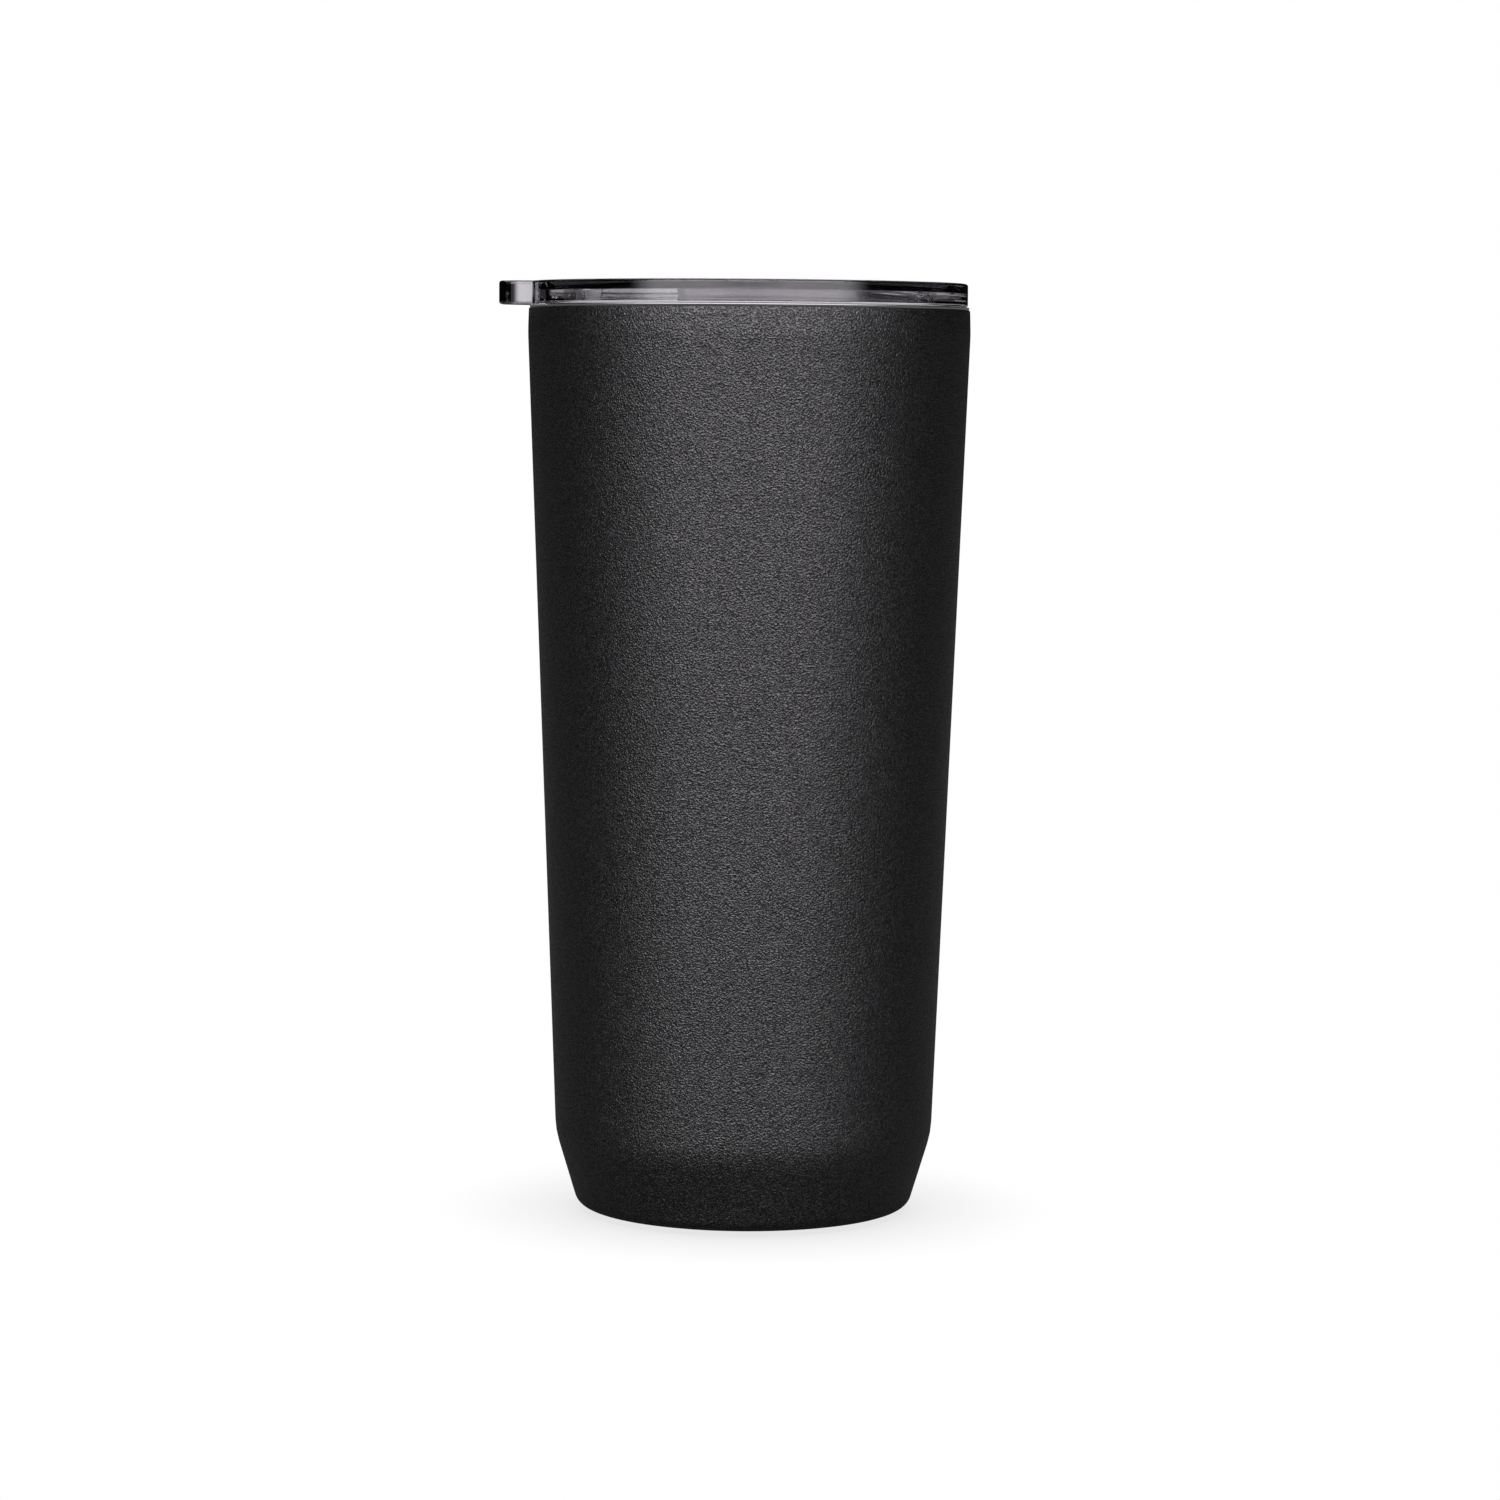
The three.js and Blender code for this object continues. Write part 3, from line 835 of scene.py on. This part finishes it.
def slider_plate(half_width, front_r, rear_x):
    """A plan of a plate whose front follows the recess and whose rear corners are round."""
    rear_r, front_corner_r = 3, 1.2
    lean = math.asin((half_width - front_corner_r) / (front_r - front_corner_r))
    front = cmath.rect(front_r - front_corner_r, lean)
    rear = complex(rear_x + rear_r, half_width - rear_r)

    def plan(inset):
        corner = arc(front, front_corner_r - inset, lean, RIGHT_ANGLE, 6)
        back = arc(rear, rear_r - inset, RIGHT_ANGLE, math.pi, 8)
        half = corner + back
        nose = arc(0, front_r - inset, -lean, lean, 24)
        return nose[1:-1] + half + [spot.conjugate() for spot in half[::-1]]

    return plan


def slider():
    """The slider: thin wings under the rails, a spine, and a thumb block with a ribbed scoop."""
    rear_x, front_x = SLIDER_LOW.x, 19.2
    base_z, top_z = SLIDER_LOW.z, SLIDER_HIGH.z
    middle_x = (rear_x + front_x) / 2
    wings_plan = slider_plate(SLIDER_HIGH.y, SLIDER_HIGH.x, rear_x)
    spine_plan = slider_plate(11.7, SLIDER_HIGH.x - 0.4, rear_x + 0.4)
    block_plan = rounded_rectangle(rear_x, front_x, -9.5, 9.5, 2.5)
    wings = slab(wings_plan, base_z, base_z + 1.5, 0.3)
    spine = slab(spine_plan, base_z + 0.2, base_z + 2.3, 0.4)
    block = slab(block_plan, base_z + 0.2, top_z, 0.7)
    scoop_r, scoop_depth, scoop_half_width = 50, 1.5, 6.5
    scoop = turned(
        filleted(
            [
                (0, -scoop_half_width),
                (scoop_r, -scoop_half_width, 1.2),
                (scoop_r, scoop_half_width, 1.2),
                (0, scoop_half_width),
            ]
        ),
        segments=480,
        longest=50,
    )
    scoop_axis = (middle_x * MM, 0, (top_z + scoop_r - scoop_depth) * MM)
    scoop.transform(Matrix.Translation(scoop_axis) @ Matrix.Rotation(RIGHT_ANGLE, 4, "X"))
    pocket = slab(bent_slot(SEAL_MARGIN + CONTACT_GAP), base_z - 1, SEAL_HIGH.z + 0.1, 0.2)
    rib_pitch, rib_half_width, rib_half_length = 3, 0.5, 6.2
    ribs = []
    for k in (-2, -1, 0, 1, 2):
        x = middle_x + k * rib_pitch
        ends = (x - rib_half_width, x + rib_half_width, -rib_half_length, rib_half_length)
        ribs.append(slab(rounded_rectangle(*ends, 0.49), top_z - 2.4, top_z - 0.7, 0.3))
    return joined(cut(joined(wings, spine, block), scoop, pocket), *ribs)


def slider_seal():
    """The silicone pad under the slider."""
    return slab(bent_slot(SEAL_MARGIN), SEAL_LOW.z, SEAL_HIGH.z, 0.3)


# ---------------------------------------------------------------- the tumbler

lid_plastic = clear_plastic("clear smoky plastic", (0.58, 0.56, 0.59), fade_mm=10)
bare_steel = turned_steel("bare steel", (0.6, 0.6, 0.61), 0.24, 0.38, 0.004)
cup_steel = turned_steel("polished cup steel", (0.74, 0.74, 0.75), 0.16, 0.3, 0.003)
smoke_silicone = silicone("smoky silicone", (0.04, 0.04, 0.045), (0.055, 0.055, 0.06), 0.015)
black_silicone = silicone("black silicone", (0.011, 0.011, 0.012), (0.016, 0.016, 0.017), 0.02)

show("powder_coated_shell", "outer_shell", outer_shell(), powder_coat())
show("steel_cup", "inner_cup", inner_cup(), cup_steel)
show("copper_wrap", "heat_shield_foil", heat_shield(), copper_foil())
show("welded_base_plate", "base_plate", base_plate(), bare_steel)
show("sealing_glass_bead", "vacuum_seal_bead", seal_bead(), sealing_glass())
show("pressed_getter", "getter_pill", getter_pill(), getter_alloy())
show("getter_holder", "getter_strap", getter_strap(), bare_steel)
show("silicone_foot", "foot_pad", foot_pad(), black_silicone)
show("clear_lid", "lid_body", lid_body(), lid_plastic)
show("finned_gasket", "lid_gasket", lid_gasket(), smoke_silicone)
show("sip_slider", "slider", slider(), lid_plastic)
show("slider_pad", "slider_seal", slider_seal(), smoke_silicone)

# ---------------------------------------------------------------- studio


def studio_world():
    """White to the camera. The object reflects a dark room with a broad soft bank of light in front,
    a high one behind and one overhead. Its clear pieces see a dim room with a white sweep behind.
    """
    world = bpy.data.worlds.new("studio")
    g = Graph(world)
    way = g.node("TexCoord", "Generated")
    x, y, z = (g.node("SeparateXYZ", axis, {"Vector": way}) for axis in "XYZ")
    height = g.maths("ARCSINE", z)
    aside = g.maths("ABSOLUTE", g.maths("ARCTAN2", x, g.maths("MULTIPLY", y, -1.0)))

    def band(angle, start, end, from_level=0.0, to_level=1.0):
        """A level that changes smoothly from one angle, in degrees, to another."""
        start, end = math.radians(start), math.radians(end)
        return g.remap(angle, start, end, from_level, to_level, smooth=True)

    across = g.product(band(aside, 66, 48), band(aside, 2, 26, 0.72, 1.0))
    front = g.product(across, band(height, 56, 24), band(height, 2, 22, 0.5, 1.0), 7.0)
    back = g.product(band(aside, 152, 170), band(height, 16, 34), band(height, 64, 50), 2.0)
    above = band(height, 44, 66)
    lights = g.maths("ADD", g.maths("ADD", front, back), g.maths("MULTIPLY", above, 1.5))
    reflected = g.mix(lights, (0.006, 0.006, 0.006), (1, 0.965, 1.01))

    sweep = g.product(band(aside, 159, 169), band(height, 34, 8))
    bright = g.maths("ADD", sweep, g.maths("MULTIPLY", above, 1.8))
    refracted = g.mix(bright, (0.08, 0.075, 0.08), (0.95, 0.95, 0.97))
    refracted = g.mix(g.maths("MINIMUM", front, 1.0), refracted, (1, 1, 1))

    seen = g.mix(g.node("LightPath", "Is Transmission Ray"), reflected, refracted)
    colour = g.mix(g.node("LightPath", "Is Camera Ray"), seen, (1, 1, 1))
    g.output("World", Surface=g.node("Background", "Background", {"Color": colour}))
    bpy.context.scene.world = world


def studio_floor():
    """A plain pale floor, white to the camera but for a faint painted shadow round the foot. It glows
    softly through clear pieces, is a dark matte to all other rays, and isn't there from below.
    """
    half_width, drop = 6, 0.2
    made = bmesh.new()
    bmesh.ops.create_grid(made, x_segments=8, y_segments=8, size=half_width)
    floor = bpy.data.objects.new("studio_floor", to_mesh(made))
    floor.location.z = -drop * MM
    bpy.context.scene.collection.objects.link(floor)
    g = Graph(bpy.data.materials.new("pale floor"))
    open_sky = g.node("AmbientOcclusion", "AO", {"Distance": 0.03}, samples=16)
    # Painted shadow: the floor's white glow is darkened where ambient occlusion finds the foot close
    # by.
    shade = g.remap(open_sky, 0.3, 0.95, 0.78, 1.0)
    glow_with_painted_shadow = g.node("Emission", "Emission", {"Color": shade, "Strength": 1.0})
    matte = g.node("BsdfDiffuse", "BSDF", {"Color": (0.09, 0.09, 0.09, 1)})
    glow = g.node("Emission", "Emission", {"Color": (0.6, 0.59, 0.6, 1), "Strength": 1.0})
    clear = g.node("BsdfTransparent", "BSDF")
    refracted = g.node("LightPath", "Is Transmission Ray")
    unseen = g.node("MixShader", "Shader", {0: refracted, 1: matte, 2: glow})
    seen = g.node("LightPath", "Is Camera Ray")
    top = g.node("MixShader", "Shader", {0: seen, 1: unseen, 2: glow_with_painted_shadow})
    below = g.node("NewGeometry", "Backfacing")
    surface = g.node("MixShader", "Shader", {0: below, 1: top, 2: clear})
    g.output("Material", Surface=surface)
    floor.data.materials.append(g.owner)


def camera():
    """A long lens a little below the lip, looking slightly down and leaning very slightly."""
    distance, height, aside = 870, 160.5, 0.73
    pitch, roll = math.radians(4.76), 0.0077
    view = bpy.data.objects.new("camera", bpy.data.cameras.new("camera"))
    view.data.sensor_width = 36
    view.data.lens = 109.5
    view.data.clip_start = 0.05
    view.data.clip_end = 50
    tilt = Matrix.Rotation(RIGHT_ANGLE - pitch, 4, "X") @ Matrix.Rotation(roll, 4, "Z")
    view.matrix_world = Matrix.Translation(Vector((aside, -distance, height)) * MM) @ tilt
    bpy.context.scene.collection.objects.link(view)
    bpy.context.scene.camera = view


studio_world()
studio_floor()
camera()
bpy.context.scene.view_settings.view_transform = "Standard"
